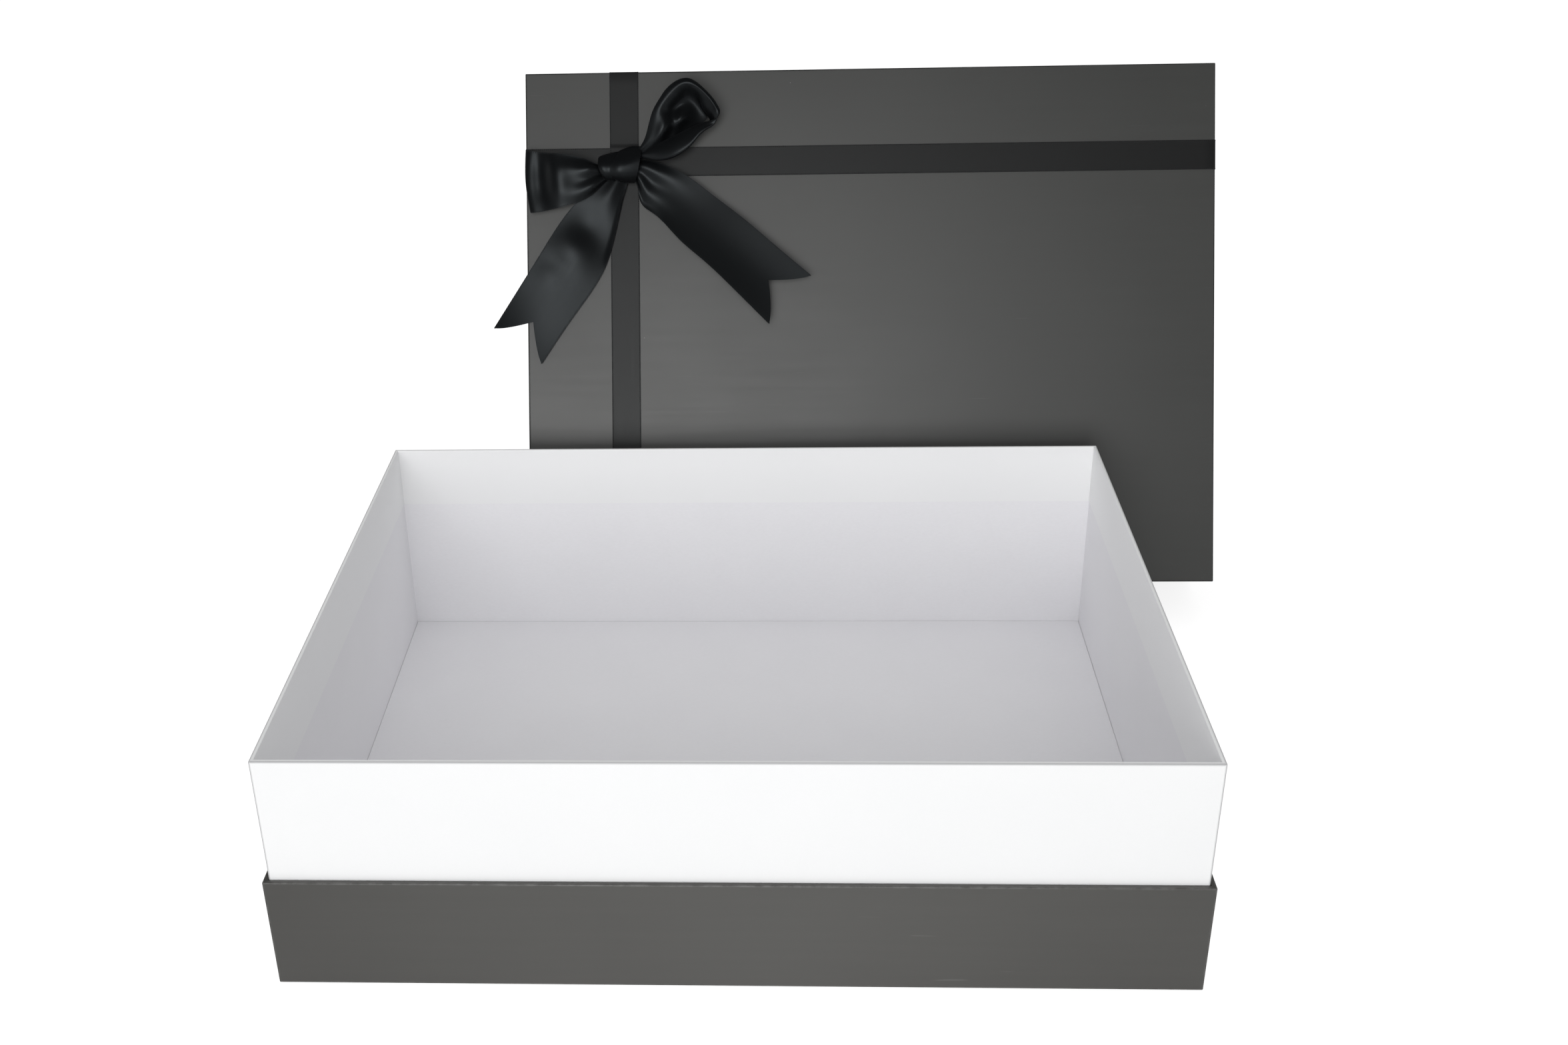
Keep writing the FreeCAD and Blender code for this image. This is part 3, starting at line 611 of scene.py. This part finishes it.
FRONT_WRAP = [
    bowed((-0.7, 3, 2), (7.9, 5.5, 2), (0, 0.4, 0)),
    bowed((-2.1, 5.2, 6.6), (10.4, 7.9, 5.8), (0, 1.2, 0.6)),
    bowed((-3.6, 1.8, 11.4), (10.8, 4.3, 11), (0, -0.6, 1)),
    bowed((-6.3, -2.7, 13.8), (10.2, -1.1, 13.6), (0, -2.2, 0.9)),
    bowed((-7.3, -6.4, 13.6), (9.2, -6.1, 13.2), (0, -1.6, 0.5)),
    bowed((-6.2, -10, 11), (7.7, -10.8, 10), (0, -0.8, 0.4)),
    bowed((-3.9, -10.8, 5.8), (6, -12.9, 5.2), (0, -0.8, 0.4)),
    bowed((-2.1, -7.5, 2), (3.7, -9.9, 2), FLAT),
]
LEFT_WRAP = [
    bowed((-12.9, 0.5, 2), (-1.2, 3.3, 2), (0, 0.6, 0)),
    bowed((-13.8, 2.2, 6.6), (-0.9, 5.2, 6), (0, 0.6, 0.6)),
    bowed((-14.3, -0.8, 10.8), (-1.9, 0.4, 10.6), (0, 0, 1)),
    bowed((-13.8, -4.8, 12), (-3.3, -5.2, 12), (0, -0.6, 1)),
    bowed((-12.6, -8.1, 10.8), (-4.3, -8.7, 10.6), (0, -0.4, 1)),
    bowed((-11.6, -10.5, 6.2), (-5.3, -11.5, 6.2), (0, -0.4, 0.6)),
    bowed((-10.9, -8.1, 2), (-5.7, -8.7, 2), FLAT),
]


def gathers(height, waves, shift, fade):
    """Gathers that start at the knot, with a crest where waves and shift add up to a whole turn."""
    grown, least = 15.0, 0.2

    def pleat(root, share):
        swell = np.clip(root / grown, least, 1.0) * np.exp(-(root / fade) ** 2)
        return height * swell * np.cos(2 * np.pi * (waves * share + shift))
    return pleat


def dent(place, middle, reach, depth):
    """A soft hollow before a place along and a swell after it, or the reverse for a depth below nought."""
    def sag(along, share):
        down, side = (along - place) / reach, (share - middle) * BOW_WIDTH / reach
        return depth * down * np.exp(-down ** 2 - side ** 2)
    return sag


def rolled(start, stop, share_from, depth):
    """An edge that rolls away from the eye between two places along."""
    ease_in, ease_out = 8.0, 14.0

    def roll(along, share):
        inside = np.clip((share - share_from) / (1 - share_from), 0, 1) ** 2
        taper = np.clip((along - start) / ease_in, 0, 1) * np.clip((stop - along) / ease_out, 0, 1)
        return -depth * inside * taper * taper * (3 - 2 * taper)
    return roll


def loop_shape(gather, *dents):
    """A loop is gathered at both of its ends, and dented on its way."""
    def shape(along, share, length):
        return gather(np.minimum(along, length - along), share) + sum(part(along, share) for part in dents)
    return shape


def tail_shape(*parts):
    """A tail is gathered at its root, and dented or rolled on its way."""
    return lambda along, share, length: sum(part(along, share) for part in parts)


def swallow(depth):
    """The notched end of a tail, its two cuts a little hollow."""
    hollow = 1.25
    return lambda length, share: length - depth * (1 - np.abs(2 * share - 1)) ** hollow


lay_ribbon("satin_loop_left", LEFT_LOOP, "bow_loop_left",
           loop_shape(gathers(2.0, 2.0, 0.4, 20.0), dent(39.5, 0.30, 9.0, -3.2), dent(39.5, 0.64, 9.0, -3.2)))
lay_ribbon("satin_loop_upper", UPPER_LOOP, "bow_loop_upper",
           loop_shape(gathers(0.3, 2.0, 0.1, 14.0)))
lay_ribbon("satin_tail_left", LEFT_TAIL, "bow_tail_left",
           tail_shape(gathers(0.6, 1.6, 0.1, 14.0), dent(45.0, 0.42, 14.0, 4.2), dent(68.0, 0.30, 8.0, 0.8),
                      rolled(6.0, 54.0, 0.88, 1.2)), swallow(17.0))
lay_ribbon("satin_tail_right", RIGHT_TAIL, "bow_tail_right",
           tail_shape(gathers(1.5, 2.0, 0.05, 22.0), rolled(4.0, 34.0, 0.80, 1.2)), swallow(17.0))


def lay_wrap(name, rows, pleat):
    """Make one wrap of the knot, where the ribbon is drawn together to a share of its width."""
    step, columns, drawn = 0.4, 41, 0.6
    grid, along, across = cloth_run(rows, step, columns, pleat)
    chart = np.stack([along * MM, (across[None, :] - 0.5) * drawn * BOW_WIDTH * MM + 0.0 * along], axis=-1)
    return cloth_mesh(name, on_bow(grid), chart, BOW_SATIN, satin_bow)


def front_fold(along, share, length):
    """The slanting crease that the pulled ribbon makes over the knot's front."""
    height, width, slant, place, start = 0.5, 0.2, 0.5, 0.16, 0.3
    lean = share - place - slant * (along / length - start)
    return height * np.exp(-(lean / width) ** 2) * np.sin(np.pi * along / length) ** 2


def side_fold(along, share, length):
    """The low pleats of the wrap at the knot's left."""
    height, waves, shift = 0.3, 1.3, 0.2
    return height * np.cos(2 * np.pi * (waves * share - shift)) * np.sin(np.pi * along / length) ** 2


wraps = [lay_wrap("knot_front", FRONT_WRAP, front_fold), lay_wrap("knot_left", LEFT_WRAP, side_fold)]
with bpy.context.temp_override(active_object=wraps[0], selected_editable_objects=wraps):
    bpy.ops.object.join()
knot = wraps[0]
knot.name = "satin_knot"
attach(knot, "lid")
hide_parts("bow_knot")


# Stitches along the woven edges of all the ribbon


def stitch_tree():
    """A node tree that sets small raised stitches across a line at a spacing."""
    tree = bpy.data.node_groups.new("edge_stitches", "GeometryNodeTree")
    panel = tree.interface
    panel.new_socket("Geometry", in_out="INPUT", socket_type="NodeSocketGeometry")
    sockets = {}
    for title, kind in (("Spacing", "Float"), ("Width", "Float"), ("Length", "Float"), ("Height", "Float"),
                        ("Seed", "Int"), ("Material", "Material")):
        sockets[title] = panel.new_socket(title, in_out="INPUT", socket_type="NodeSocket" + kind).identifier
    panel.new_socket("Geometry", in_out="OUTPUT", socket_type="NodeSocketGeometry")

    def add(kind, settings=None, links=None):
        node = tree.nodes.new(kind)
        for key, value in (settings or {}).items():
            setattr(node, key, value)
        for key, value in (links or {}).items():
            if isinstance(value, bpy.types.NodeSocket):
                tree.links.new(value, node.inputs[key])
            else:
                node.inputs[key].default_value = value
        return node

    start = add("NodeGroupInput").outputs
    line = add("GeometryNodeMeshToCurve", None, {"Mesh": start["Geometry"]})
    points = add("GeometryNodeCurveToPoints", {"mode": "LENGTH"},
                 {"Curve": line.outputs[0], "Length": start["Spacing"]})
    outward = add("GeometryNodeInputNamedAttribute", {"data_type": "FLOAT_VECTOR"}, {"Name": "outward"})
    turn = add("FunctionNodeAxesToRotation", {"primary_axis": "Z", "secondary_axis": "X"},
               {"Primary Axis": outward.outputs[0], "Secondary Axis": points.outputs["Tangent"]})
    size = add("ShaderNodeCombineXYZ", None,
               {"X": start["Width"], "Y": start["Length"], "Z": start["Height"]})
    bead = add("GeometryNodeMeshIcoSphere", None, {"Radius": 0.5, "Subdivisions": 1})
    bead = add("GeometryNodeTransform", None, {"Geometry": bead.outputs[0], "Scale": size.outputs[0]})
    vary = add("FunctionNodeRandomValue", {"data_type": "FLOAT"}, {2: 0.82, 3: 1.12, "Seed": start["Seed"]})
    beads = add("GeometryNodeInstanceOnPoints", None, {
        "Points": points.outputs["Points"], "Instance": bead.outputs[0],
        "Rotation": turn.outputs[0], "Scale": vary.outputs[1]})
    whole = add("GeometryNodeRealizeInstances", None, {"Geometry": beads.outputs[0]})
    smooth = add("GeometryNodeSetShadeSmooth", None, {"Geometry": whole.outputs[0]})
    painted = add("GeometryNodeSetMaterial", None,
                  {"Geometry": smooth.outputs[0], "Material": start["Material"]})
    add("NodeGroupOutput", None, {0: painted.outputs[0]})
    return tree, sockets


def stitch_thread():
    """Dull black thread with a twist."""
    look = finish("stitch_thread")
    place = look.coordinates()
    twist = look.noise(place, 4200.0, 2.0)
    colour = look.blend(twist, rgb(0.004, 0.0042, 0.0045), rgb(0.010, 0.0105, 0.011))
    return look.principled(Base_Color=colour, Roughness=0.50 + 0.15 * twist, Specular_IOR_Level=0.25,
                           Normal=look.bump(twist, 0.2, 0.05 * MM))


def sew_edges():
    """Stitch every remembered edge, and leave one plain mesh."""
    points, edges, outward = [], [], []
    for line, normal in stitch_lines:
        first = len(points)
        points += line.tolist()
        outward += normal.tolist()
        edges += [(first + step, first + step + 1) for step in range(len(line) - 1)]
    guide = bpy.data.meshes.new("stitch_guide")
    guide.from_pydata(points, edges, [])
    guide.attributes.new("outward", "FLOAT_VECTOR", "POINT").data.foreach_set(
        "vector", np.array(outward, np.float32).ravel())
    sewn = bpy.data.objects.new("stitch_guide", guide)
    bpy.context.scene.collection.objects.link(sewn)
    tree, sockets = stitch_tree()
    modifier = sewn.modifiers.new("stitches", "NODES")
    modifier.node_group = tree
    for title, value in (("Spacing", 1.15 * MM), ("Width", 0.60 * MM), ("Length", 1.0 * MM),
                         ("Height", 0.62 * MM), ("Seed", 7), ("Material", stitch_thread())):
        modifier[sockets[title]] = value
    mesh = bpy.data.meshes.new_from_object(sewn.evaluated_get(bpy.context.evaluated_depsgraph_get()))
    bpy.data.objects.remove(sewn)
    piece = bpy.data.objects.new("edge_stitches", mesh)
    mesh.name = "edge_stitches"
    bpy.context.scene.collection.objects.link(piece)
    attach(piece, "lid")


sew_edges()

# Stage: pale floor, soft light and the camera

BACKGROUND_RAYS = ("Is Camera Ray", "Is Glossy Ray", "Is Transmission Ray")
WHITE = rgb(1.0, 1.0, 1.0)
LAMP_AIM = (0.0, 0.1, 0.12)
CAMERA_PLACE = (0.01837, -0.68807, 0.51575)
CAMERA_RIGHT, CAMERA_UP = Vector((0.99897, 0.03794, -0.02474)), Vector((0.00532, 0.44420, 0.89591))
SENSOR, LENS, SHIFT = 36.0, 37.69, (0.0527, -0.0326)


def seen_rays(look):
    """One for the rays that show the background: the camera's, and those of gloss and glass."""
    rays = look.node("ShaderNodeLightPath").socket.node
    camera, gloss, glass = (Number(look, rays.outputs[name]) for name in BACKGROUND_RAYS)
    return camera, look.most(camera, look.most(gloss, glass))


def pale_floor():
    """White to the camera apart from the shadow; to gloss a painted band of light in line with the box,
    dimmer away from it; matt to other light.
    """
    look = finish("pale_floor")
    camera, seen = seen_rays(look)
    x, _, _ = look.axes(look.coordinates())
    # Painted reflection: within 0.3 m either side of the box's middle the floor glows brighter to gloss
    painted_light_pool = look.near(abs(x), 0.30)
    lit = look.blend(look.most(camera, painted_light_pool), rgb(0.40, 0.40, 0.40), WHITE)
    matt = look.node("ShaderNodeBsdfDiffuse", None, {"Color": rgb(0.82, 0.82, 0.82)})
    shadow = look.node("ShaderNodeBsdfDiffuse", None, {"Color": rgb(0.34, 0.34, 0.34)})
    glow = look.node("ShaderNodeEmission", None, {"Color": lit, "Strength": 0.84})
    white = look.node("ShaderNodeAddShader", None, {0: shadow, 1: glow})
    mixed = look.node("ShaderNodeMixShader", None, {0: seen, 1: matt, 2: white})
    look.node("ShaderNodeOutputMaterial", None, {"Surface": mixed})
    return look.owner


def lay_floor():
    """A wide floor a hair below the box."""
    reach, drop = 14.0, 0.0004
    mesh = bpy.data.meshes.new("floor")
    mesh.from_pydata([(-reach, -reach, -drop), (reach, -reach, -drop), (reach, reach, -drop),
                      (-reach, reach, -drop)], [], [(0, 1, 2, 3)])
    mesh.materials.append(pale_floor())
    ground = bpy.data.objects.new("floor", mesh)
    bpy.context.scene.collection.objects.link(ground)


def light_world():
    """White behind the box and to the camera, a dimmer room in front of it for gloss, and a soft fill."""
    world = bpy.data.worlds.new("studio")
    bpy.context.scene.world = world
    look = Finish(world)
    camera, seen = seen_rays(look)
    _, depth, height = look.axes(look.coordinates("Generated"))
    behind = look.step(depth, -0.25, 0.35) * (1.0 - look.step(height, 0.15, 0.45))
    room = look.most(camera, 0.05 + 0.95 * behind)
    sky = 0.455 + 0.24 * look.most(height, 0.0)
    fill = look.node("ShaderNodeBackground", None, {"Color": WHITE, "Strength": sky})
    back = look.node("ShaderNodeBackground", None, {"Color": WHITE, "Strength": room})
    mixed = look.node("ShaderNodeMixShader", None, {0: seen, 1: fill, 2: back})
    look.node("ShaderNodeOutputWorld", None, {"Surface": mixed})


def softbox(name, place, aim, size, power):
    """A soft rectangular lamp at a place, turned to what it lights."""
    lamp = bpy.data.lights.new(name, "AREA")
    lamp.shape, lamp.size, lamp.size_y, lamp.energy = "RECTANGLE", size[0], size[1], power
    holder = bpy.data.objects.new(name, lamp)
    bpy.context.scene.collection.objects.link(holder)
    holder.location = place
    holder.rotation_euler = (Vector(place) - Vector(aim)).to_track_quat("Z", "Y").to_euler()


def place_camera():
    """The view from before and above the box, framed with a shifted lens."""
    lens = bpy.data.cameras.new("camera")
    lens.sensor_width, lens.lens = SENSOR, LENS
    lens.shift_x, lens.shift_y = SHIFT
    lens.clip_start, lens.clip_end = 0.01, 100.0
    camera = bpy.data.objects.new("camera", lens)
    turn = Matrix((CAMERA_RIGHT, CAMERA_UP, CAMERA_RIGHT.cross(CAMERA_UP))).transposed().to_4x4()
    camera.matrix_world = Matrix.Translation(CAMERA_PLACE) @ turn
    bpy.context.scene.collection.objects.link(camera)
    bpy.context.scene.camera = camera


lay_floor()
light_world()
softbox("key", (-0.38, -2.40, 0.66), LAMP_AIM, (0.96, 0.96), 22.4)
softbox("top_front", (-0.06, -2.10, 1.28), LAMP_AIM, (0.65, 0.65), 5.9)
place_camera()
bpy.context.scene.view_settings.view_transform = "Standard"
